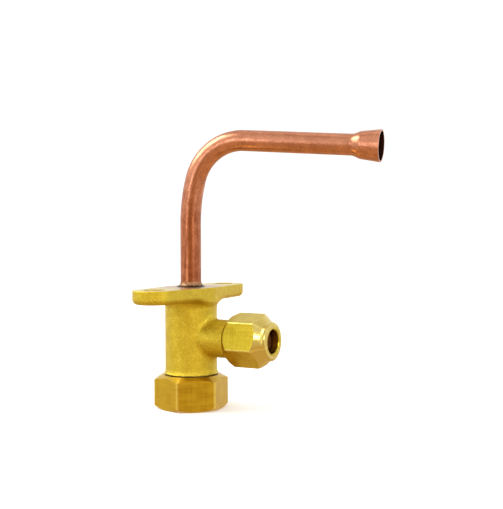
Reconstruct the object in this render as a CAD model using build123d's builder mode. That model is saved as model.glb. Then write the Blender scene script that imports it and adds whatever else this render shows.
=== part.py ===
from build123d import *
import os
from math import cos, radians, sin, sqrt, tan

# A liquid-line service valve for 1/4 inch refrigerant tube.
# The origin is the centre of the flange's mounting face, on the axis of the valve stem.
# +Z runs up along the copper tube's foot, +X along the flare port, and the flange's ears lie along Y.

# ---------------------------------------------------------------- driving dimensions, in millimetres

# Flange
flange_thickness = 4.1
hole_spacing = 39.0
hole_radius = 3.1
ear_radius = 6.3
flange_edge_round = 1.5          # lower edge of the rim
flange_top_round = 0.3
flange_root_round = 2.2          # concave blend from the flange's underside into the barrel
flange_overhang = 0.6            # rim over the barrel at the middle of the flange

# Barrel and the collar above the cap
barrel_radius = 7.95
collar_radius = 8.3
collar_height = 1.5
collar_face = 26.3               # depth of the collar's lower face below the flange
body_length = 34.0               # mounting face to the end of the cap thread
thread_chamfer = 0.4

# Side port
port_depth = 15.4                # axis of the port below the mounting face
neck_radius = 5.75
neck_end = 14.1                  # end of the plain neck, from the stem's axis
neck_root_round = 1.8
relief_length = 1.0
relief_depth = 0.45
port_thread_radius = 5.145       # pitch radius of the 7/16-20 UNF thread
port_thread_length = 6.5
flare_angle = 45.0
flare_tip_radius = 2.6
flare_shoulder = 0.55            # step from the thread down to the flare cone

# Passages inside the body
passage_radius = 2.0
seat_depth = 10.6                # upper edge of the conical stem seat
seat_angle = 45.0
chamber_radius = 3.4
stem_thread_top = 17.6
stem_thread_radius = 3.68        # pitch radius of the M8 x 1 thread
seal_bore_radius = 4.83
seal_bore_length = 10.0          # from the end of the body up to the stem's thread
ring_groove_depth = 0.55         # radial depth of the retaining ring's groove
ring_groove_lip = 0.5            # wall between the groove and the end of the body

# Stem
stem_lift = 3.0
stem_nose_radius = 2.6
stem_tip_radius = 1.0
stem_head_length = 5.0
stem_head_land = 0.9             # from the top of the head to the O-ring groove
stem_thread_setback = 0.2        # start of the stem's thread below the start of the body's
stem_thread_runout = 0.6         # end of the stem's thread above the end of the body's
hexagon_socket = 4.0
hexagon_socket_depth = 3.6
o_ring_section = 1.46

# Retaining ring
ring_thickness = 0.8
ring_inner_radius = 3.9
ring_gap_angle = 50.0

# Cap
cap_across_flats = 20.0
cap_height = 10.3
cap_corner_round = 0.9
cap_gap = 0.4                    # between the collar and the cap's open end
cap_chamfer_angle = 30.0
cap_open_ring_radius = 8.9       # flat ring inside the chamfer, open end
cap_closed_ring_radius = 9.6     # flat ring inside the chamfer, closed end
cap_thread_radius = 7.175        # pitch radius of the M15 x 1 thread
cap_mouth_depth = 1.2            # plain recess at the mouth of the cap, over the thread's run-out
cap_mouth_radius = 7.7
cap_seal_thickness = 0.5
cap_seal_width = 1.7
cap_corner_direction = 40.7      # direction of one corner, from +X towards +Y

# Flare nut
nut_across_flats = 14.3
nut_length = 13.3
nut_rear = 15.2                  # rear face, from the stem's axis
nut_corner_round = 0.45
nut_rear_ring_radius = 7.0
nut_rear_chamfer = 40.0
nut_front_chamfer = 45.0
nose_radius = 5.8
nose_length = 1.5
nose_round = 0.8
nut_bore_radius = 3.55
nut_bore_chamfer = 0.25
nut_thread_chamfer = 0.5
nut_corner_direction = 46.5      # direction of one corner, from +Z towards -Y

# Flare bonnet
bonnet_thickness = 0.8
bonnet_cup_radius = 3.2
bonnet_recess = 2.0              # closed end behind the nut's front face
bonnet_end_round = 1.0

# Copper tube
tube_radius = 3.175
tube_wall = 0.8
tube_insertion = 6.4
run_height = 45.3                # the run's centre line, carried back to the stem's axis
run_direction = 10.3             # from +X towards +Y
run_fall = 4.1                   # degrees below level
run_length = 58.9                # from the stem's axis to the mouth
eased_radius = 52.0              # gentle start of the bend
eased_angle = 15.0
bend_radius = 15.0
swage_length = 9.2
swage_lead = 1.0                 # plain tube before the taper
swage_taper = 2.2
swage_blend = 3.0
swage_shoulder_radius = 4.05
mouth_radius = 4.75
mouth_wall = 0.5                 # thinned by the swaging

# Brazing
braze_radius = 4.5
braze_height = 1.6
braze_recess_radius = 4.75
braze_recess_depth = 0.8

# Fits
tube_clearance = 0.05
thread_clearance = 0.05
running_clearance = 0.08
o_ring_clearance = 0.03
seat_clearance = 0.05
fillet_clearance = 0.05

# ---------------------------------------------------------------- worked-out places

# Body
ear_offset = hole_spacing / 2
flange_root_end = flange_thickness + flange_root_round
blank_radius = ear_offset + 2 * ear_radius
socket_radius = tube_radius + tube_clearance
seat_length = (chamber_radius - passage_radius) / tan(radians(seat_angle))
stem_thread_bottom = body_length - seal_bore_length
ring_groove_bottom = body_length - ring_groove_lip
ring_groove_top = ring_groove_bottom - ring_thickness - 2 * seat_clearance

# Side port: sketches with X along the port and the radius upwards, and faces square to it
port_plane = Plane(origin=(0, 0, -port_depth), x_dir=(1, 0, 0), z_dir=(0, -1, 0))
port_face = Plane(origin=(0, 0, -port_depth), x_dir=(0, 0, 1), z_dir=(1, 0, 0))
port_axis = Axis((0, 0, -port_depth), (1, 0, 0))
neck_root = (seal_bore_radius + sqrt(barrel_radius**2 - neck_radius**2)) / 2
thread_start = neck_end + relief_length
thread_end = thread_start + port_thread_length
cone_base_radius = port_thread_radius - flare_shoulder
flare_slope = tan(radians(flare_angle))
flare_tip = thread_end + (cone_base_radius - flare_tip_radius) / flare_slope

# Stem, shut against its seat
stem_nose_drop = (stem_nose_radius - passage_radius) / tan(radians(seat_angle))
stem_nose_base = -seat_depth - stem_nose_drop - seat_clearance / sin(radians(seat_angle))
stem_tip = stem_nose_base + (stem_nose_radius - stem_tip_radius) / tan(radians(seat_angle))
stem_head_end = -(ring_groove_top - stem_lift - 2 * seat_clearance)
stem_head_top = stem_head_end + stem_head_length
stem_head_radius = seal_bore_radius - running_clearance
stem_thread_start = -stem_thread_top - stem_thread_setback
stem_thread_end = -stem_thread_bottom + stem_thread_runout
o_ring_middle_radius = seal_bore_radius - o_ring_clearance - o_ring_section / 2
groove_root_radius = o_ring_middle_radius - o_ring_section / 2 - o_ring_clearance
groove_half_width = o_ring_section / 2 + running_clearance
o_ring_level = stem_head_top - stem_head_land - groove_half_width

# Cap
cap_open_end = -(collar_face + cap_gap)
cap_closed_end = cap_open_end - cap_height
cap_floor = -(body_length + cap_seal_thickness + 2 * seat_clearance)
cap_turning_radius = cap_across_flats / sqrt(3)
cap_open_chamfer = (cap_turning_radius - cap_open_ring_radius) * tan(radians(cap_chamfer_angle))
cap_closed_chamfer = (cap_turning_radius - cap_closed_ring_radius) * tan(radians(cap_chamfer_angle))

# Flare nut
nut_front = nut_rear + nut_length
nut_plane = port_face.offset(nut_rear)
nut_thread_radius = port_thread_radius + thread_clearance
nut_turning_radius = nut_across_flats / sqrt(3)
nut_front_cone = (nut_turning_radius - nose_radius) / tan(radians(nut_front_chamfer))
nut_rear_cone = (nut_turning_radius - nut_rear_ring_radius) / tan(radians(nut_rear_chamfer))
bonnet_end = nut_front - bonnet_recess

# Copper tube, in the upright plane of its run: X outwards from the stem's axis, Y upwards
run_heading = Vector(cos(radians(run_direction)), sin(radians(run_direction)), 0)
run_plane = Plane(origin=(0, 0, 0), x_dir=run_heading, z_dir=run_heading.cross(Vector(0, 0, 1)))
fall = radians(run_fall)
eased = radians(eased_angle)
bend_reach = eased_radius * (1 - cos(eased)) + bend_radius * (cos(eased) + sin(fall))
bend_rise = eased_radius * sin(eased) + bend_radius * (cos(fall) - sin(eased))
bend_start = run_height - bend_rise - bend_reach * tan(fall)
swage_along = run_length - swage_length
swage_start = (swage_along * cos(fall), run_height - swage_along * sin(fall))
run_way = run_heading * cos(fall) - Vector(0, 0, sin(fall))
swage_plane = Plane(
    origin=run_plane.from_local_coords(Vector(*swage_start)), x_dir=run_way, z_dir=run_plane.z_dir
)

# Brazing
braze_inner_radius = tube_radius + fillet_clearance
braze_width = braze_radius - braze_inner_radius
braze_foot_depth = braze_width * braze_recess_depth / (braze_recess_radius - socket_radius)


def flare_cone(radius, offset):
    """Place along the port where a surface lying off the flare cone by offset has this radius."""
    return flare_tip + (flare_tip_radius - radius) / flare_slope + offset / sin(radians(flare_angle))


def bonnet_inside(radius):
    return flare_cone(radius, seat_clearance)


def bonnet_outside(radius):
    return flare_cone(radius, seat_clearance + bonnet_thickness)


def nut_cone(radius):
    return flare_cone(radius, 2 * seat_clearance + bonnet_thickness)


os.makedirs("parts", exist_ok=True)

# ---------------------------------------------------------------- valve body

# The outline of the flange, seen from above: two ears and the barrel between them
with BuildSketch() as flange_outline:
    with Locations((0, -ear_offset), (0, ear_offset)):
        Circle(ear_radius)
    Circle(barrel_radius + flange_overhang)
    make_hull()

# The body is turned as a round-flanged blank with a concave root, and its flange is then cut to
# the outline, so that the rim runs smoothly down into the barrel.
with BuildPart() as valve_body:
    with BuildSketch(Plane.XZ):
        with BuildLine():
            l1 = Line((0, 0), (blank_radius, 0))
            l2 = Line(l1 @ 1, (blank_radius, -flange_thickness))
            l3 = Line(l2 @ 1, (barrel_radius + flange_root_round, -flange_thickness))
            l4 = RadiusArc(l3 @ 1, (barrel_radius, -flange_root_end), -flange_root_round)
            l5 = Line(l4 @ 1, (barrel_radius, -collar_face + collar_height))
            l6 = TangentArc(l5 @ 1, (collar_radius, -collar_face), tangent=(0, -1))
            l7 = Polyline(
                l6 @ 1,
                (cap_thread_radius - relief_depth, -collar_face),
                (cap_thread_radius - relief_depth, -collar_face - relief_length),
                (cap_thread_radius, -collar_face - relief_length - relief_depth),
                (cap_thread_radius, -body_length + thread_chamfer),
                (cap_thread_radius - thread_chamfer, -body_length),
                (0, -body_length),
            )
            Line(l7 @ 1, l1 @ 0)
        make_face()
    revolve(axis=Axis.Z)

    # Stem bore, from the brazing recess at the top to the open end under the cap
    with BuildSketch(Plane.XZ):
        with BuildLine():
            Polyline(
                (0, 0),
                (braze_recess_radius, 0),
                (socket_radius, -braze_recess_depth),
                (socket_radius, -tube_insertion - seat_clearance),
                (passage_radius, -tube_insertion - seat_clearance),
                (passage_radius, -seat_depth),
                (chamber_radius, -seat_depth - seat_length),
                (chamber_radius, -stem_thread_top),
                (stem_thread_radius, -stem_thread_top),
                (stem_thread_radius, -stem_thread_bottom),
                (seal_bore_radius, -stem_thread_bottom),
                (seal_bore_radius, -ring_groove_top),
                (seal_bore_radius + ring_groove_depth, -ring_groove_top),
                (seal_bore_radius + ring_groove_depth, -ring_groove_bottom),
                (seal_bore_radius, -ring_groove_bottom),
                (seal_bore_radius, -body_length + thread_chamfer),
                (seal_bore_radius + thread_chamfer, -body_length),
                (0, -body_length),
                close=True,
            )
        make_face()
    revolve(axis=Axis.Z, mode=Mode.SUBTRACT)

    # Side port, rooted in the wall of the barrel: plain neck, thread relief, thread and flare cone
    with BuildSketch(port_plane):
        with BuildLine():
            Polyline(
                (neck_root, 0),
                (neck_root, neck_radius),
                (neck_end, neck_radius),
                (neck_end, port_thread_radius - relief_depth),
                (thread_start, port_thread_radius - relief_depth),
                (thread_start + relief_depth, port_thread_radius),
                (thread_end, port_thread_radius),
                (thread_end, cone_base_radius),
                (flare_tip, flare_tip_radius),
                (flare_tip, 0),
                close=True,
            )
        make_face()
    revolve(axis=port_axis)
    fillet(valve_body.edges(Select.LAST).filter_by(GeomType.BSPLINE), neck_root_round)

    # Side passage, from the chamber round the stem's nose to the tip of the flare cone
    with BuildSketch(port_face):
        Circle(passage_radius)
    extrude(amount=flare_tip, mode=Mode.SUBTRACT)

    # Mounting holes
    with BuildSketch(Plane.XY):
        with Locations((0, -ear_offset), (0, ear_offset)):
            Circle(hole_radius)
    extrude(amount=-flange_thickness, mode=Mode.SUBTRACT)

    # Flange cut to its outline, with its edges rounded
    with BuildSketch(Plane.XY):
        Circle(2 * blank_radius)
        add(flange_outline.sketch, mode=Mode.SUBTRACT)
    extrude(amount=-flange_root_end, mode=Mode.SUBTRACT)
    rim = valve_body.faces(Select.LAST).filter_by(lambda face: abs(face.normal_at().Z) < 0.01)
    fillet(rim.edges().filter_by_position(Axis.Z, 0, 0), flange_top_round)
    rim_foot = rim.edges().filter_by_position(Axis.Z, -flange_root_end, -0.9 * flange_thickness)
    fillet(rim_foot, flange_edge_round)

# ---------------------------------------------------------------- copper tube

# One upright plane holds the whole centre line: up, an eased start, the bend, and the falling run.
with BuildPart() as copper_pipe:
    with BuildLine(run_plane) as route:
        r1 = Line((0, -tube_insertion), (0, bend_start))
        r2 = JernArc(r1 @ 1, r1 % 1, eased_radius, -eased_angle)
        r3 = JernArc(r2 @ 1, r2 % 1, bend_radius, eased_angle - 90 - run_fall)
        Line(r3 @ 1, swage_start)
    with BuildSketch(Plane.XY.offset(-tube_insertion)):
        Circle(tube_radius)
        Circle(tube_radius - tube_wall, mode=Mode.SUBTRACT)
    sweep(path=route.wires()[0])

    # Swaged shoulder and belled mouth
    with BuildSketch(swage_plane) as swage_section:
        with BuildLine():
            Polyline(
                (0, tube_radius),
                (swage_lead, tube_radius),
                (swage_lead + swage_taper, swage_shoulder_radius),
                (swage_length, mouth_radius),
                (swage_length, mouth_radius - mouth_wall),
                (swage_lead + swage_taper, swage_shoulder_radius - tube_wall),
                (swage_lead, tube_radius - tube_wall),
                (0, tube_radius - tube_wall),
                close=True,
            )
        make_face()
        fillet(swage_section.vertices().sort_by(Axis.X)[2:-2], swage_blend)
    revolve(axis=Axis(swage_plane.origin, swage_plane.x_dir))

# ---------------------------------------------------------------- brazing

with BuildPart() as braze_fillet:
    with BuildSketch(Plane.XZ):
        with BuildLine():
            f1 = TangentArc((braze_inner_radius, braze_height), (braze_radius, 0), tangent=(0, -1))
            Polyline(f1 @ 1, (braze_inner_radius, -braze_foot_depth), f1 @ 0)
        make_face()
    revolve(axis=Axis.Z)

# ---------------------------------------------------------------- stem and its seal

with BuildPart() as stem:
    with BuildSketch(Plane.XZ):
        with BuildLine():
            Polyline(
                (0, stem_tip),
                (stem_tip_radius, stem_tip),
                (stem_nose_radius, stem_nose_base),
                (stem_nose_radius, stem_thread_start),
                (stem_thread_radius - thread_clearance, stem_thread_start),
                (stem_thread_radius - thread_clearance, stem_thread_end),
                (groove_root_radius, stem_thread_end),
                (groove_root_radius, stem_head_top),
                (stem_head_radius, stem_head_top),
                (stem_head_radius, o_ring_level + groove_half_width),
                (groove_root_radius, o_ring_level + groove_half_width),
                (groove_root_radius, o_ring_level - groove_half_width),
                (stem_head_radius, o_ring_level - groove_half_width),
                (stem_head_radius, stem_head_end),
                (0, stem_head_end),
                close=True,
            )
        make_face()
    revolve(axis=Axis.Z)
    with BuildSketch(Plane.XY.offset(stem_head_end)):
        RegularPolygon(hexagon_socket / 2, 6, major_radius=False)
    extrude(amount=hexagon_socket_depth, mode=Mode.SUBTRACT)

with BuildPart() as stem_o_ring:
    with BuildSketch(Plane.XZ):
        with Locations((o_ring_middle_radius, o_ring_level)):
            Circle(o_ring_section / 2)
    revolve(axis=Axis.Z)

with BuildPart() as retaining_ring:
    with BuildSketch(Plane.XY.offset(-ring_groove_bottom + seat_clearance)):
        Circle(seal_bore_radius + ring_groove_depth - seat_clearance)
        Circle(ring_inner_radius, mode=Mode.SUBTRACT)
        with BuildLine():
            g1 = PolarLine((0, 0), 2 * seal_bore_radius, -ring_gap_angle / 2)
            g2 = PolarLine((0, 0), 2 * seal_bore_radius, ring_gap_angle / 2)
            Line(g1 @ 1, g2 @ 1)
        make_face(mode=Mode.SUBTRACT)
    extrude(amount=ring_thickness)

# ---------------------------------------------------------------- cap and its seal

# A hexagon bar with both ends turned to a shallow cone, bored and threaded from the top.
with BuildPart() as cap:
    with BuildSketch(Plane.XY.offset(cap_closed_end)) as cap_hexagon:
        RegularPolygon(cap_across_flats / 2, 6, major_radius=False, rotation=cap_corner_direction)
        fillet(cap_hexagon.vertices(), cap_corner_round)
    extrude(amount=cap_height)
    with BuildSketch(Plane.XZ):
        with BuildLine():
            Polyline(
                (0, cap_open_end),
                (cap_open_ring_radius, cap_open_end),
                (cap_turning_radius, cap_open_end - cap_open_chamfer),
                (cap_turning_radius, cap_closed_end + cap_closed_chamfer),
                (cap_closed_ring_radius, cap_closed_end),
                (0, cap_closed_end),
                close=True,
            )
        make_face()
    revolve(axis=Axis.Z, mode=Mode.INTERSECT)
    with BuildSketch(Plane.XZ):
        with BuildLine():
            Polyline(
                (0, cap_open_end),
                (cap_mouth_radius, cap_open_end),
                (cap_mouth_radius, cap_open_end - cap_mouth_depth),
                (cap_thread_radius + thread_clearance, cap_open_end - cap_mouth_depth),
                (cap_thread_radius + thread_clearance, cap_floor),
                (0, cap_floor),
                close=True,
            )
        make_face()
    revolve(axis=Axis.Z, mode=Mode.SUBTRACT)

with BuildPart() as cap_seal:
    with BuildSketch(Plane.XY.offset(cap_floor + seat_clearance)):
        Circle(cap_thread_radius)
        Circle(cap_thread_radius - cap_seal_width, mode=Mode.SUBTRACT)
    extrude(amount=cap_seal_thickness)

# ---------------------------------------------------------------- flare nut and bonnet

with BuildPart() as flare_nut:
    with BuildSketch(nut_plane) as nut_hexagon:
        RegularPolygon(nut_across_flats / 2, 6, major_radius=False, rotation=nut_corner_direction)
        fillet(nut_hexagon.vertices(), nut_corner_round)
    extrude(amount=nut_length)
    with BuildSketch(port_plane):
        with BuildLine():
            n1 = Polyline(
                (nut_front - nose_round, nose_radius),
                (nut_front - nose_length, nose_radius),
                (nut_front - nose_length - nut_front_cone, nut_turning_radius),
                (nut_rear + nut_rear_cone, nut_turning_radius),
                (nut_rear, nut_rear_ring_radius),
                (nut_rear, 0),
                (nut_front, 0),
                (nut_front, nose_radius - nose_round),
            )
            RadiusArc(n1 @ 1, n1 @ 0, -nose_round)
        make_face()
    revolve(axis=port_axis, mode=Mode.INTERSECT)
    with BuildSketch(port_plane):
        with BuildLine():
            Polyline(
                (nut_rear, 0),
                (nut_rear, nut_thread_radius + nut_thread_chamfer),
                (nut_rear + nut_thread_chamfer, nut_thread_radius),
                (nut_cone(nut_thread_radius), nut_thread_radius),
                (nut_cone(nut_bore_radius), nut_bore_radius),
                (nut_front - nut_bore_chamfer, nut_bore_radius),
                (nut_front, nut_bore_radius + nut_bore_chamfer),
                (nut_front, 0),
                close=True,
            )
        make_face()
    revolve(axis=port_axis, mode=Mode.SUBTRACT)

# A drawn copper thimble: its skirt sits on the flare cone and its closed end stands in the nut's bore.
with BuildPart() as flare_bonnet:
    with BuildSketch(port_plane) as bonnet_section:
        with BuildLine():
            Polyline(
                (bonnet_inside(cone_base_radius), cone_base_radius),
                (bonnet_outside(cone_base_radius), cone_base_radius),
                (bonnet_outside(bonnet_cup_radius), bonnet_cup_radius),
                (bonnet_end, bonnet_cup_radius),
                (bonnet_end, 0),
                (bonnet_end - bonnet_thickness, 0),
                (bonnet_end - bonnet_thickness, bonnet_cup_radius - bonnet_thickness),
                (bonnet_inside(bonnet_cup_radius - bonnet_thickness), bonnet_cup_radius - bonnet_thickness),
                close=True,
            )
        make_face()
        outer_corner = bonnet_section.vertices().sort_by(Axis.X)[-2:].sort_by(Axis.Y)[-1]
        fillet(outer_corner, bonnet_end_round)
    revolve(axis=port_axis)

# ---------------------------------------------------------------- one file for each piece

pieces = {
    "valve_body": valve_body,
    "copper_pipe": copper_pipe,
    "braze_fillet": braze_fillet,
    "stem": stem,
    "stem_o_ring": stem_o_ring,
    "retaining_ring": retaining_ring,
    "cap": cap,
    "cap_seal": cap_seal,
    "flare_nut": flare_nut,
    "flare_bonnet": flare_bonnet,
}
for name, piece in pieces.items():
    piece.part.label = name
    export_step(piece.part, f"parts/{name}.step")
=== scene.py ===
from math import cos, radians, sin, tan

import bmesh
import bpy
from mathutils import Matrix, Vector


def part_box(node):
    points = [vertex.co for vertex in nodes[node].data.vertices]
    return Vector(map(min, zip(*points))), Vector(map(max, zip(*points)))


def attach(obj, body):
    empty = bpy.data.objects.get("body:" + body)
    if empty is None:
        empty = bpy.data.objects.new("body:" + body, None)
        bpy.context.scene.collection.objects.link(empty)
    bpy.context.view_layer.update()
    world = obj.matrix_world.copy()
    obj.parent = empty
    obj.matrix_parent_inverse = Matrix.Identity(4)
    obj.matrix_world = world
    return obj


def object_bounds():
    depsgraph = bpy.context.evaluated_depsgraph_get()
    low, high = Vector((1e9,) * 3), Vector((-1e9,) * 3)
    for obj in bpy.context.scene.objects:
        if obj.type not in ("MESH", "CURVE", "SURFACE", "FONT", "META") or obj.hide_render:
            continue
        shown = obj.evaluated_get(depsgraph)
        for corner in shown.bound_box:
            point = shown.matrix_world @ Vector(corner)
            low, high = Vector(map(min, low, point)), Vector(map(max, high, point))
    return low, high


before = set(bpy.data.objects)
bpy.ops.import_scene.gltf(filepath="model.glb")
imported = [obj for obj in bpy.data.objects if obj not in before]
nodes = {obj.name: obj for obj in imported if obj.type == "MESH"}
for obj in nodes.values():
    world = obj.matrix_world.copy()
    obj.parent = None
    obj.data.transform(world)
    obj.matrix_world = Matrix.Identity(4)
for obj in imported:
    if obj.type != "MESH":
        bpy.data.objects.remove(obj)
cad_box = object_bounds()
MM = 0.001

# ------------------------------------------------------------------------------------ camera
# A long lens a little above the flange, level enough that the valve's top face is a thin band.
# It looks from the front right, past the side port's nut.
CAMERA_PLACE = (150.1 * MM, -232.5 * MM, 16.3 * MM)
CAMERA_TURN = (88.648, 0.160, 28.991)
CAMERA_LENS = 63.75

camera = bpy.data.objects.new("camera", bpy.data.cameras.new("camera"))
camera.location = CAMERA_PLACE
camera.rotation_euler = [radians(angle) for angle in CAMERA_TURN]
camera.data.lens = CAMERA_LENS
camera.data.sensor_width = 36
camera.data.clip_start = 0.01
camera.data.clip_end = 60
bpy.context.scene.collection.objects.link(camera)
bpy.context.scene.camera = camera

# ------------------------------------------------------------------------------------ floor
# A wide sheet of matt white card, on which the valve stands on its cap, and a white wall far
# behind it all round. The card glows a little and the wall brightly, so that both come out white.
CARD_WHITE = (0.96, 0.96, 0.96)
CARD_GLOW = 0.16
FLOOR_RADIUS = 6.0
FLOOR_GAP = 0.02 * MM
WALL_GLOW = 1.1
WALL_HEIGHT = 4.0
WALL_INSET = 0.1
WALL_SUNK = 0.01
ROUND_SIDES = 96
floor_level = cad_box[0][2]


def add_node(tree, kind, inputs=None, **settings):
    """A shader node with these settings. An input is a number, a colour or a node's output."""
    node = tree.nodes.new(kind)
    for name, value in settings.items():
        setattr(node, name, value)
    for name, value in (inputs or {}).items():
        if isinstance(value, bpy.types.NodeSocket):
            tree.links.new(value, node.inputs[name])
        else:
            node.inputs[name].default_value = value
    return node


def new_material(name, colour, metallic, roughness):
    """A material with one Principled shader. Returns the material, its tree and the shader."""
    material = bpy.data.materials.new(name)
    material.use_nodes = True
    shader = material.node_tree.nodes["Principled BSDF"]
    shader.inputs["Base Color"].default_value = (*colour, 1)
    shader.inputs["Metallic"].default_value = metallic
    shader.inputs["Roughness"].default_value = roughness
    return material, material.node_tree, shader


def glow_white(shader, strength):
    """Makes the surface give off white light."""
    shader.inputs["Emission Color"].default_value = (1, 1, 1, 1)
    shader.inputs["Emission Strength"].default_value = strength


def new_piece(name, bm, material):
    """An object at the origin from a finished bmesh."""
    mesh = bpy.data.meshes.new(name)
    bm.to_mesh(mesh)
    bm.free()
    mesh.materials.append(material)
    piece = bpy.data.objects.new(name, mesh)
    bpy.context.scene.collection.objects.link(piece)
    return piece


white_card, tree, shader = new_material("white_card", CARD_WHITE, metallic=0, roughness=0.95)
glow_white(shader, CARD_GLOW)
bm = bmesh.new()
bmesh.ops.create_circle(bm, cap_ends=True, segments=ROUND_SIDES, radius=FLOOR_RADIUS)
bmesh.ops.translate(bm, verts=bm.verts, vec=(0, 0, floor_level - FLOOR_GAP))
floor = new_piece("floor", bm, white_card)
floor.visible_glossy = False

wall_white, tree, shader = new_material("wall_white", (0, 0, 0), metallic=0, roughness=1)
glow_white(shader, WALL_GLOW)
bm = bmesh.new()
bmesh.ops.create_circle(bm, segments=ROUND_SIDES, radius=FLOOR_RADIUS - WALL_INSET)
rim = bmesh.ops.extrude_edge_only(bm, edges=bm.edges[:])["geom"]
rim_verts = [part for part in rim if isinstance(part, bmesh.types.BMVert)]
bmesh.ops.translate(bm, verts=rim_verts, vec=(0, 0, WALL_HEIGHT))
bmesh.ops.translate(bm, verts=bm.verts, vec=(0, 0, floor_level - WALL_SUNK))
wall = new_piece("wall", bm, wall_white)
wall.visible_diffuse = wall.visible_glossy = wall.visible_shadow = False

# ------------------------------------------------------------------------------------ light
# A white room with soft boxes overhead and at the left, the front and the right. The side that
# the camera stands on, the ceiling and the bench below are dimmer and warmer, as bare metal shows.
ROOM_WHITE = (1.12, 1.12, 1.12)
ROOM_DIM = (0.61, 0.42, 0.20)
ROOM_CEILING = (0.84, 0.80, 0.74)
BENCH_DIM = (0.82, 0.60, 0.34)
DIM_FACING = (0.78, 0.97)
CEILING_RISE = (0.55, 0.95)
BENCH_FALL = (-0.02, -0.35)


def coordinates(tree, place):
    """The X, Y and Z of each place."""
    return add_node(tree, "ShaderNodeSeparateXYZ", {"Vector": place}).outputs


def along_line(tree, place, line):
    """How far along a line through the origin each place is."""
    return add_node(
        tree, "ShaderNodeVectorMath", {0: place, 1: line}, operation="DOT_PRODUCT"
    ).outputs["Value"]


def eased(tree, value, start, end):
    """A number that goes softly from 0 to 1 as the value goes from start to end."""
    return add_node(
        tree, "ShaderNodeMapRange", {"Value": value, "From Min": start, "From Max": end},
        interpolation_type="SMOOTHSTEP",
    ).outputs["Result"]


def mixed(tree, factor, first, second):
    """A colour that goes from the first to the second as the factor goes from 0 to 1."""
    return add_node(
        tree, "ShaderNodeMixRGB", {"Fac": factor, "Color1": first, "Color2": second}
    ).outputs["Color"]


room = bpy.data.worlds.new("room")
room.use_nodes = True
bpy.context.scene.world = room
tree = room.node_tree
way = add_node(tree, "ShaderNodeTexCoord").outputs["Generated"]
rise = coordinates(tree, way)["Z"]
facing = along_line(tree, way, Vector(CAMERA_PLACE).normalized())
walls = mixed(tree, eased(tree, facing, *DIM_FACING), (*ROOM_WHITE, 1), (*ROOM_DIM, 1))
walls = mixed(tree, eased(tree, rise, *CEILING_RISE), walls, (*ROOM_CEILING, 1))
walls = mixed(tree, eased(tree, rise, *BENCH_FALL), walls, (*BENCH_DIM, 1))
tree.links.new(walls, tree.nodes["Background"].inputs["Color"])


def soft_box(name, place, width, height, watts):
    """A soft rectangular lamp aimed at the middle of the valve."""
    lamp = bpy.data.lights.new(name, "AREA")
    lamp.shape = "RECTANGLE"
    lamp.size = width
    lamp.size_y = height
    lamp.energy = watts
    box = bpy.data.objects.new(name, lamp)
    box.location = place
    box.rotation_euler = (-Vector(place)).to_track_quat("-Z", "Y").to_euler()
    box.visible_camera = False
    bpy.context.scene.collection.objects.link(box)


soft_box("overhead_box", (0.05, 0.10, 0.60), width=0.40, height=0.40, watts=0.25)
soft_box("left_box", (-0.52, -0.27, 0.55), width=0.50, height=0.50, watts=4.6)
soft_box("front_box", (-0.15, -0.70, 0.12), width=0.16, height=0.30, watts=0.28)
soft_box("right_box", (0.50, -0.30, 0.17), width=0.14, height=0.14, watts=0.8)
bpy.context.scene.view_settings.view_transform = "Standard"

# ------------------------------------------------------------------------------------ valve body
# A hot forging in yellow brass, shot-blasted, so its skin is matt and grainy. The top face and
# the two threaded ends are turned, and the brazing flame has dulled the top face round the tube.
BODY_LIGHT = (0.76, 0.58, 0.055)
BODY_DARK = (0.50, 0.355, 0.022)
BODY_PAINTED_GLINT = (0.95, 0.80, 0.17)
TURNED_BRASS = (0.66, 0.52, 0.17)
SINGED = (0.50, 0.34, 0.21)
SINGED_WITHIN = (8 * MM, 17 * MM)
BARE_ABOVE = -0.05 * MM
BARE_BELOW = -26.35 * MM
BARE_BEYOND = 14.15 * MM
BARE_SMOOTHER = 0.06


def object_place(tree):
    """The place on the piece, in metres from the frame's origin."""
    return add_node(tree, "ShaderNodeTexCoord").outputs["Object"]


def joined(tree, x, y=0.0, z=0.0):
    """A place from its coordinates."""
    return add_node(tree, "ShaderNodeCombineXYZ", {"X": x, "Y": y, "Z": z}).outputs["Vector"]


def noise(tree, place, scale, detail=3.0, roughness=0.55):
    """Soft noise with so many cells to the metre."""
    return add_node(
        tree, "ShaderNodeTexNoise",
        {"Vector": place, "Scale": scale, "Detail": detail, "Roughness": roughness},
    ).outputs["Fac"]


def between(tree, factor, low, high, start, end):
    """A colour that runs from low to high as the factor goes from start to end."""
    ramp = add_node(tree, "ShaderNodeValToRGB", {"Fac": factor})
    ramp.color_ramp.elements[0].position = start
    ramp.color_ramp.elements[0].color = (*low, 1)
    ramp.color_ramp.elements[1].position = end
    ramp.color_ramp.elements[1].color = (*high, 1)
    return ramp.outputs["Color"]


def spread(tree, factor, low, high, start=0.3, end=0.7):
    """A number that runs from low to high as the factor goes from start to end."""
    return add_node(
        tree, "ShaderNodeMapRange",
        {"Value": factor, "From Min": start, "From Max": end, "To Min": low, "To Max": high},
    ).outputs["Result"]


def maths(tree, operation, first, second):
    """One sum on two numbers."""
    return add_node(tree, "ShaderNodeMath", {0: first, 1: second}, operation=operation).outputs[0]


def weighed(tree, *parts):
    """The sum of some numbers, each times its share."""
    shares = [maths(tree, "MULTIPLY", value, share) for value, share in parts]
    total = shares[0]
    for share in shares[1:]:
        total = maths(tree, "ADD", total, share)
    return total


def from_axis(tree, first, second):
    """How far each place is from an axis, from its distances along two directions across it."""
    return add_node(
        tree, "ShaderNodeVectorMath", {0: joined(tree, first, second)}, operation="LENGTH"
    ).outputs["Value"]


def bump(tree, shader, height, depth):
    """Raises the surface by the height, times a depth in metres."""
    raised = add_node(tree, "ShaderNodeBump", {"Height": height, "Distance": depth})
    tree.links.new(raised.outputs["Normal"], shader.inputs["Normal"])


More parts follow.
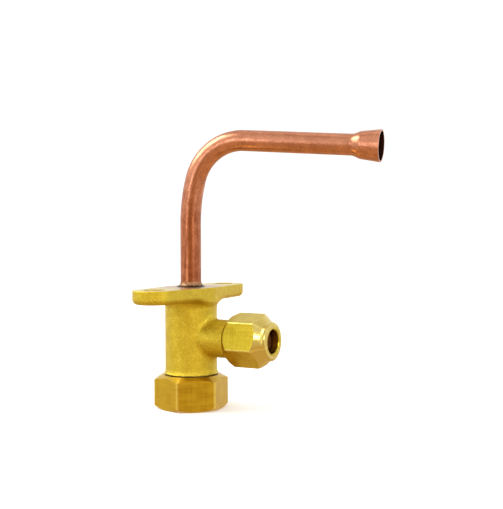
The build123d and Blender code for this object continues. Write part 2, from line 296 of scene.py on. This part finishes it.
forged, tree, shader = new_material("forged_brass", BODY_LIGHT, metallic=1.0, roughness=0.5)
place = object_place(tree)
axes = coordinates(tree, place)
grain = noise(tree, place, scale=2300, detail=4.0, roughness=0.7)
blotches = noise(tree, place, scale=380)
blast = weighed(tree, (blotches, 0.28), (grain, 0.72))
skin = between(tree, blast, BODY_DARK, BODY_LIGHT, start=0.36, end=0.64)
# Painted highlights: pale specks mixed into the colour where this noise peaks, standing in for
# glints of light off the blasted grain.
glint_noise = noise(tree, place, scale=3100, detail=2.0, roughness=0.5)
painted_glints = spread(tree, glint_noise, low=0.0, high=0.5, start=0.60, end=0.70)
skin = mixed(tree, painted_glints, skin, (*BODY_PAINTED_GLINT, 1))

top_face = maths(tree, "GREATER_THAN", axes["Z"], BARE_ABOVE)
cap_end = maths(tree, "LESS_THAN", axes["Z"], BARE_BELOW)
port_end = maths(tree, "GREATER_THAN", axes["X"], BARE_BEYOND)
turned = maths(tree, "MAXIMUM", maths(tree, "MAXIMUM", top_face, cap_end), port_end)
from_tube = from_axis(tree, axes["X"], axes["Y"])
flame = spread(tree, from_tube, 0.0, 0.8, *SINGED_WITHIN)
flame = maths(tree, "ADD", flame, noise(tree, place, scale=300))
singed = between(tree, flame, SINGED, TURNED_BRASS, start=0.45, end=1.0)
bare = mixed(tree, top_face, (*TURNED_BRASS, 1), singed)
tree.links.new(mixed(tree, turned, skin, bare), shader.inputs["Base Color"])

roughness = maths(
    tree, "SUBTRACT", spread(tree, grain, low=0.30, high=0.50),
    maths(tree, "MULTIPLY", turned, BARE_SMOOTHER))
tree.links.new(roughness, shader.inputs["Roughness"])
relief = maths(tree, "MULTIPLY", grain, maths(tree, "SUBTRACT", 1.1, turned))
bump(tree, shader, relief, depth=0.17 * MM)
nodes["valve_body"].data.materials[0] = forged

# ------------------------------------------------------------------------------------ body threads
# Both outside threads are cut on a lathe: M15 x 1 under the cap, and 7/16-20 UNF on the side port.
# Each is one right-hand V ridge, cut off square where the thread starts and ends.
UP = Vector((0, 0, 1))
RIGHT = Vector((1, 0, 0))
CAP_AXIS = Vector((0, 0, 0))
CAP_PITCH = 1.0 * MM
CAP_THREAD_RADIUS = 7.175 * MM
CAP_THREAD_FIRST = -34.5 * MM
PORT_AXIS = Vector((0, 0, -15.4 * MM))
PORT_PITCH = 1.27 * MM
PORT_THREAD_RADIUS = 5.145 * MM
PORT_THREAD_FIRST = 15.1 * MM
ROOT_SUNK = 0.05 * MM
RIDGE_FOOT = 0.23
RIDGE_CREST = 0.07
STEPS_A_TURN = 48


def screw_thread(name, material, axis, across, middle, first, ends, root, crest, pitch):
    """One V ridge wound right-handed along an axis. At the direction across, its middle stands at
    first and every pitch after that. It is cut off square at both ends."""
    bm = bmesh.new()
    section = [
        (root, -RIDGE_FOOT), (crest, -RIDGE_CREST), (crest, RIDGE_CREST), (root, RIDGE_FOOT)]
    verts = [
        bm.verts.new(middle + across * radius + axis * (first + share * pitch))
        for radius, share in section
    ]
    edges = [bm.edges.new((verts[i], verts[i - 1])) for i in range(len(verts))]
    turns = int((ends[1] - first) / pitch) + 2
    bmesh.ops.spin(
        bm, geom=verts + edges, cent=middle, axis=axis, dvec=axis * pitch / STEPS_A_TURN,
        angle=radians(360 * turns), steps=STEPS_A_TURN * turns,
    )
    for place, outside in ((ends[0], -axis), (ends[1], axis)):
        bmesh.ops.bisect_plane(
            bm, geom=bm.verts[:] + bm.edges[:] + bm.faces[:], plane_co=middle + axis * place,
            plane_no=outside, clear_outer=True,
        )
    bmesh.ops.holes_fill(bm, edges=bm.edges[:])
    bmesh.ops.recalc_face_normals(bm, faces=bm.faces[:])
    return new_piece(name, bm, material)


turned_brass, tree, shader = new_material("turned_brass", TURNED_BRASS, metallic=1.0, roughness=0.3)
tool_marks = noise(tree, object_place(tree), scale=2600)
tree.links.new(spread(tree, tool_marks, low=0.26, high=0.38), shader.inputs["Roughness"])
bump(tree, shader, tool_marks, depth=0.01 * MM)
cap_end_thread = screw_thread(
    "cap_end_thread", turned_brass, UP, RIGHT, CAP_AXIS, CAP_THREAD_FIRST,
    ends=(-33.75 * MM, -27.75 * MM), root=CAP_THREAD_RADIUS - ROOT_SUNK,
    crest=CAP_THREAD_RADIUS + 0.3 * MM, pitch=CAP_PITCH,
)
port_thread = screw_thread(
    "port_thread", turned_brass, RIGHT, UP, PORT_AXIS, PORT_THREAD_FIRST,
    ends=(15.6 * MM, 21.5 * MM), root=PORT_THREAD_RADIUS - ROOT_SUNK,
    crest=PORT_THREAD_RADIUS + 0.38 * MM, pitch=PORT_PITCH,
)
for thread in (cap_end_thread, port_thread):
    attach(thread, "valve")

# ------------------------------------------------------------------------------------ copper tube
# Soft drawn copper, bent on a former and swaged open at its mouth. Draw lines follow it round the
# bend. Its upright leg is darker and browner, partly heat tint from the brazing flame and partly
# painted shade for the dark reflection down that leg, and its bore near the mouth is painted near
# black as shade in the hollow.
COPPER_LIGHT = (0.63, 0.262, 0.148)
COPPER_DARK = (0.39, 0.148, 0.080)
LEG_TINT_AND_SHADE_LIGHT = (0.53, 0.185, 0.086)
LEG_TINT_AND_SHADE_DARK = (0.24, 0.066, 0.026)
LEG_TINT_AND_SHADE_UP_TO = (26 * MM, 37 * MM)
LEG_TINT_AND_SHADE_RAGGED = 12 * MM
BORE_PAINTED_SHADE = (0.030, 0.009, 0.006)
RUN_DIRECTION = radians(10.3)
RUN_FALL = radians(4.1)
RUN_HEIGHT = 45.3 * MM
BEND_REACH = 19.5 * MM
BEND_RISE = 30.6 * MM
SWAGE_ALONG = 52.0 * MM
BORE_SEEN_FROM = 46.0 * MM
LINE_DRIFT = 0.02

run_way = Vector((
    cos(RUN_DIRECTION) * cos(RUN_FALL), sin(RUN_DIRECTION) * cos(RUN_FALL), -sin(RUN_FALL)))
run_side = Vector((-sin(RUN_DIRECTION), cos(RUN_DIRECTION), 0))
run_top = run_way.cross(run_side)
swage_middle = Vector((0, 0, RUN_HEIGHT)) + run_way * SWAGE_ALONG
bend_foot = RUN_HEIGHT * cos(RUN_FALL) - BEND_RISE

copper, tree, shader = new_material("drawn_copper", COPPER_LIGHT, metallic=1.0, roughness=0.4)
place = object_place(tree)
along = along_line(tree, place, run_way)
side = along_line(tree, place, run_side)
rise = along_line(tree, place, run_top)
height = coordinates(tree, place)["Z"]

# How far out from the middle of the bend each place is. It grows with the height on the run, and
# to the left on the upright leg, so noise on it runs in lines along the whole tube.
short_of_bend = maths(tree, "SUBTRACT", 1.0, maths(tree, "DIVIDE", along, BEND_REACH))
past_bend = maths(tree, "DIVIDE", maths(tree, "SUBTRACT", rise, bend_foot), BEND_RISE)
out = from_axis(
    tree, maths(tree, "MAXIMUM", short_of_bend, 0.0), maths(tree, "MAXIMUM", past_bend, 0.0))
out = maths(tree, "MULTIPLY", out, BEND_REACH)
drift = maths(tree, "MULTIPLY", maths(tree, "ADD", along, height), LINE_DRIFT)
draw_lines = noise(tree, joined(tree, out, side, drift), scale=1500, detail=4.0, roughness=0.7)

clouds = noise(tree, place, scale=420, detail=4.0, roughness=0.65)
specks = noise(tree, place, scale=2600, detail=2.0)
mottle = weighed(tree, (clouds, 0.35), (specks, 0.2), (draw_lines, 0.45))
bright = between(tree, mottle, COPPER_DARK, COPPER_LIGHT, start=0.40, end=0.58)
# Partly painted shade: the upright leg's darker, browner colours stand both for the brazing flame's
# heat tint and for the dark reflection down that leg.
leg_tint_and_shade = between(tree, mottle, LEG_TINT_AND_SHADE_DARK, LEG_TINT_AND_SHADE_LIGHT, start=0.40, end=0.60)
ragged_height = maths(tree, "ADD", height, maths(tree, "MULTIPLY", clouds, LEG_TINT_AND_SHADE_RAGGED))
skin = mixed(tree, spread(tree, ragged_height, 1.0, 0.0, *LEG_TINT_AND_SHADE_UP_TO), bright, leg_tint_and_shade)

from_swage = add_node(
    tree, "ShaderNodeVectorMath", {0: place, 1: swage_middle}, operation="SUBTRACT"
).outputs["Vector"]
normal = add_node(tree, "ShaderNodeNewGeometry").outputs["Normal"]
faces_in = maths(tree, "LESS_THAN", along_line(tree, from_swage, normal), 0.0)
# Painted shade: inward-facing surfaces of the bore near the mouth are coloured near black, for the
# shade inside the hollow tube.
bore_shade_mask = maths(
    tree, "MULTIPLY", faces_in, maths(tree, "GREATER_THAN", along, BORE_SEEN_FROM))
tree.links.new(mixed(tree, bore_shade_mask, skin, (*BORE_PAINTED_SHADE, 1)), shader.inputs["Base Color"])
tree.links.new(
    spread(tree, mottle, low=0.34, high=0.21, start=0.40, end=0.60), shader.inputs["Roughness"])
bump(tree, shader, mottle, depth=0.03 * MM)
nodes["copper_pipe"].data.materials[0] = copper

# ------------------------------------------------------------------------------------ brazing
# The ring of brazing alloy round the foot of the tube, brown and spotted, and black at its edge
# where flux and flame have left a crust on the flange.
CRUST = (0.020, 0.012, 0.008)
BRAZING_BROWN = (0.42, 0.21, 0.10)
CRUST_HEIGHT = 0.8 * MM

brazing, tree, shader = new_material("burnt_brazing", BRAZING_BROWN, metallic=0.8, roughness=0.45)
place = object_place(tree)
height = coordinates(tree, place)["Z"]
spots = noise(tree, place, scale=1300, detail=4.0, roughness=0.7)
burnt = spread(tree, height, low=0.30, high=0.0, start=0.0, end=CRUST_HEIGHT)
skin = between(
    tree, maths(tree, "SUBTRACT", spots, burnt), CRUST, BRAZING_BROWN, start=0.30, end=0.52)
tree.links.new(skin, shader.inputs["Base Color"])
bump(tree, shader, spots, depth=0.12 * MM)
nodes["braze_fillet"].data.materials[0] = brazing

# ------------------------------------------------------------------------------------ stem
# The stem is turned from brass rod, so its tool marks run round it. A fine thread winds its cone
# down to the seat in the body.
STEM_BRASS = (0.62, 0.46, 0.12)


def stretched(tree, place, shares):
    """The place with each axis scaled, so that noise on it is drawn out along the small ones."""
    return add_node(
        tree, "ShaderNodeVectorMath", {0: place, 1: shares}, operation="MULTIPLY"
    ).outputs["Vector"]


stem_brass, tree, shader = new_material(
    "turned_stem_brass", STEM_BRASS, metallic=1.0, roughness=0.28)
tool_marks = noise(tree, stretched(tree, object_place(tree), (0.1, 0.1, 1)), scale=5000)
bump(tree, shader, tool_marks, depth=0.015 * MM)
nodes["stem"].data.materials[0] = stem_brass

# ------------------------------------------------------------------------------------ O-ring
# A moulded ring of black rubber. It sits in a groove round the head of the stem, and seals the
# head in its bore.
BLACK_RUBBER = (0.012, 0.012, 0.013)

rubber, tree, shader = new_material("black_rubber", BLACK_RUBBER, metallic=0.0, roughness=0.55)
bump(tree, shader, noise(tree, object_place(tree), scale=3000), depth=0.01 * MM)
nodes["stem_o_ring"].data.materials[0] = rubber

# ------------------------------------------------------------------------------------ spring ring
# A C-ring of oiled spring steel, snapped into a groove in the mouth of the bore. It stops the
# stem from being wound out.
SPRING_STEEL = (0.16, 0.16, 0.17)

spring_steel, tree, shader = new_material(
    "oiled_spring_steel", SPRING_STEEL, metallic=1.0, roughness=0.35)
scuffs = noise(tree, object_place(tree), scale=2500)
tree.links.new(spread(tree, scuffs, low=0.28, high=0.45), shader.inputs["Roughness"])
nodes["retaining_ring"].data.materials[0] = spring_steel

# ------------------------------------------------------------------------------------ cap
# Sawn from drawn hexagon bar and turned at both ends, so its flats are satin, with fine scuffs
# across them and draw lines up them. Its corners carry a painted highlight, and it winds onto the
# body.
CAP_LIGHT = (0.61, 0.40, 0.026)
CAP_DARK = (0.52, 0.32, 0.018)
CAP_CORNER_HIGHLIGHT = (0.86, 0.66, 0.16)
CAP_CORNER = radians(40.7)
CAP_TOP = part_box("cap")[1][2]
CAP_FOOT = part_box("cap")[0][2]
CAP_TOP_RING = 8.9 * MM
CAP_FOOT_RING = 9.6 * MM
CHAMFER_SLOPE = tan(radians(30))
CHAMFER_SLACK = 0.02 * MM
DRAW_LINE_SHARE = 0.04
SCUFF_SHARE = 0.10
INSIDE_ROOT_SUNK = 0.1 * MM


def painted_corner_highlights(tree, first, second, corner):
    """1 along the six corners of a hexagon, and 0 on its flats: the mask for the painted corner
    highlights. It goes by the angle alone, so on an end face it runs in to the middle."""
    turn = maths(tree, "SUBTRACT", maths(tree, "ARCTAN2", second, first), corner)
    from_corner = maths(tree, "PINGPONG", turn, radians(30))
    return spread(tree, from_corner, low=1.0, high=0.0, start=0.02, end=0.055)


def past_cone(tree, end, radius, ring):
    """How far a place is past the edge of a 30 degree chamfer that starts from a flat ring."""
    outside = maths(tree, "SUBTRACT", radius, ring)
    return maths(tree, "ADD", end, maths(tree, "MULTIPLY", outside, CHAMFER_SLOPE))


def hexagon_marks(tree, place, axis, radius, turned, scuffed):
    """The marks on a hexagon piece: lathe rings where it is turned, and elsewhere draw lines along
    its axis and scuffs across it."""
    rings = noise(tree, joined(tree, radius), scale=3000)
    drawn = stretched(tree, place, [DRAW_LINE_SHARE if on_axis else 1 for on_axis in axis])
    rubbed = stretched(tree, place, [1 if on_axis else SCUFF_SHARE for on_axis in axis])
    bar_lines = noise(tree, drawn, scale=2200)
    scuffs = noise(tree, rubbed, scale=1300, detail=4.0, roughness=0.65)
    lines = weighed(tree, (bar_lines, 1 - scuffed), (scuffs, scuffed))
    return add_node(
        tree, "ShaderNodeMix", {"Factor": turned, "A": lines, "B": rings}).outputs["Result"]


cap_brass, tree, shader = new_material("cap_brass", CAP_LIGHT, metallic=1.0, roughness=0.33)
place = object_place(tree)
axes = coordinates(tree, place)
radius = from_axis(tree, axes["X"], axes["Y"])
fall = maths(tree, "MULTIPLY", axes["Z"], -1.0)
top_turned = maths(
    tree, "GREATER_THAN", past_cone(tree, axes["Z"], radius, CAP_TOP_RING),
    CAP_TOP - CHAMFER_SLACK)
foot_turned = maths(
    tree, "GREATER_THAN", past_cone(tree, fall, radius, CAP_FOOT_RING), -CAP_FOOT - CHAMFER_SLACK)
turned = maths(tree, "MAXIMUM", top_turned, foot_turned)
marks = hexagon_marks(tree, place, (0, 0, 1), radius, turned, scuffed=0.6)
clouds = noise(tree, place, scale=300)
tone = weighed(tree, (clouds, 0.45), (marks, 0.55))
skin = between(tree, tone, CAP_DARK, CAP_LIGHT, start=0.42, end=0.58)
# Painted highlight: a bright band along each corner, standing in for light caught by the rounded
# corners.
rubbed = maths(tree, "MULTIPLY", painted_corner_highlights(tree, axes["X"], axes["Y"], CAP_CORNER), clouds)
tree.links.new(mixed(tree, rubbed, skin, (*CAP_CORNER_HIGHLIGHT, 1)), shader.inputs["Base Color"])
tree.links.new(spread(tree, marks, low=0.24, high=0.40), shader.inputs["Roughness"])
bump(tree, shader, marks, depth=0.03 * MM)
nodes["cap"].data.materials[0] = cap_brass

cap_thread = screw_thread(
    "cap_thread", turned_brass, UP, RIGHT, CAP_AXIS, CAP_THREAD_FIRST + CAP_PITCH / 2,
    ends=(-33.75 * MM, -27.95 * MM), root=CAP_THREAD_RADIUS + INSIDE_ROOT_SUNK,
    crest=CAP_THREAD_RADIUS - 0.2 * MM, pitch=CAP_PITCH,
)
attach(cap_thread, "cap")

# ------------------------------------------------------------------------------------ cap's seal
# A flat washer of copper, annealed to make it soft. It lies between the floor of the cap and the
# end of the body.
ANNEALED_COPPER = (0.60, 0.27, 0.16)

seal_copper, tree, shader = new_material(
    "annealed_copper", ANNEALED_COPPER, metallic=1.0, roughness=0.4)
bump(tree, shader, noise(tree, object_place(tree), scale=2000), depth=0.01 * MM)
nodes["cap_seal"].data.materials[0] = seal_copper

# ------------------------------------------------------------------------------------ flare nut
# A brass hexagon nut with draw lines along its flats and scuffs across them. Its front is turned
# to a cone and a short round nose, its corners carry a painted highlight, and it winds onto the
# port.
NUT_LIGHT = (0.60, 0.44, 0.034)
NUT_DARK = (0.50, 0.35, 0.022)
NUT_TURNED = (0.64, 0.49, 0.13)
NUT_CORNER_HIGHLIGHT = (0.88, 0.72, 0.22)
NUT_CORNER = radians(46.5)
NUT_CONE = 32.76 * MM
CONE_SMOOTHER = 0.10

nut_brass, tree, shader = new_material("nut_brass", NUT_LIGHT, metallic=1.0, roughness=0.33)
place = object_place(tree)
axes = coordinates(tree, place)
up = maths(tree, "SUBTRACT", axes["Z"], PORT_AXIS.z)
near = maths(tree, "MULTIPLY", axes["Y"], -1.0)
radius = from_axis(tree, up, near)
turned = maths(tree, "GREATER_THAN", maths(tree, "ADD", axes["X"], radius), NUT_CONE)
marks = hexagon_marks(tree, place, (1, 0, 0), radius, turned, scuffed=0.5)
clouds = noise(tree, place, scale=420)
tone = weighed(tree, (clouds, 0.45), (marks, 0.55))
skin = between(tree, tone, NUT_DARK, NUT_LIGHT, start=0.42, end=0.58)
skin = mixed(tree, turned, skin, (*NUT_TURNED, 1))
# Painted highlight: a bright band along each corner, standing in for light caught by the rounded
# corners.
rubbed = maths(tree, "MULTIPLY", painted_corner_highlights(tree, up, near, NUT_CORNER), clouds)
tree.links.new(mixed(tree, rubbed, skin, (*NUT_CORNER_HIGHLIGHT, 1)), shader.inputs["Base Color"])
roughness = maths(
    tree, "SUBTRACT", spread(tree, marks, low=0.22, high=0.36),
    maths(tree, "MULTIPLY", turned, CONE_SMOOTHER))
tree.links.new(roughness, shader.inputs["Roughness"])
bump(tree, shader, marks, depth=0.03 * MM)
nodes["flare_nut"].data.materials[0] = nut_brass

nut_thread = screw_thread(
    "nut_thread", turned_brass, RIGHT, UP, PORT_AXIS, PORT_THREAD_FIRST + PORT_PITCH / 2,
    ends=(15.75 * MM, 21.9 * MM), root=PORT_THREAD_RADIUS + INSIDE_ROOT_SUNK,
    crest=PORT_THREAD_RADIUS - 0.26 * MM, pitch=PORT_PITCH,
)
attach(nut_thread, "nut")

# ------------------------------------------------------------------------------------ bonnet
# A thimble drawn from copper sheet, which closes the flare cone inside the nut. Its copper is
# painted much darker, a near black-brown, as painted shade deep in the nut's bore.
BONNET_SHADED_COPPER = (0.12, 0.042, 0.015)
BONNET_SHADE_LIGHT = (0.17, 0.062, 0.022)
BONNET_SHADE_DARK = (0.07, 0.024, 0.009)

bonnet_copper, tree, shader = new_material(
    "bonnet_copper", BONNET_SHADED_COPPER, metallic=1.0, roughness=0.5)
shade_tone_noise = noise(tree, object_place(tree), scale=900)
# Painted shade: the bonnet's copper is darkened to near black-brown for the shade inside the nut.
skin = between(tree, shade_tone_noise, BONNET_SHADE_DARK, BONNET_SHADE_LIGHT, start=0.3, end=0.7)
tree.links.new(skin, shader.inputs["Base Color"])
bump(tree, shader, shade_tone_noise, depth=0.03 * MM)
nodes["flare_bonnet"].data.materials[0] = bonnet_copper
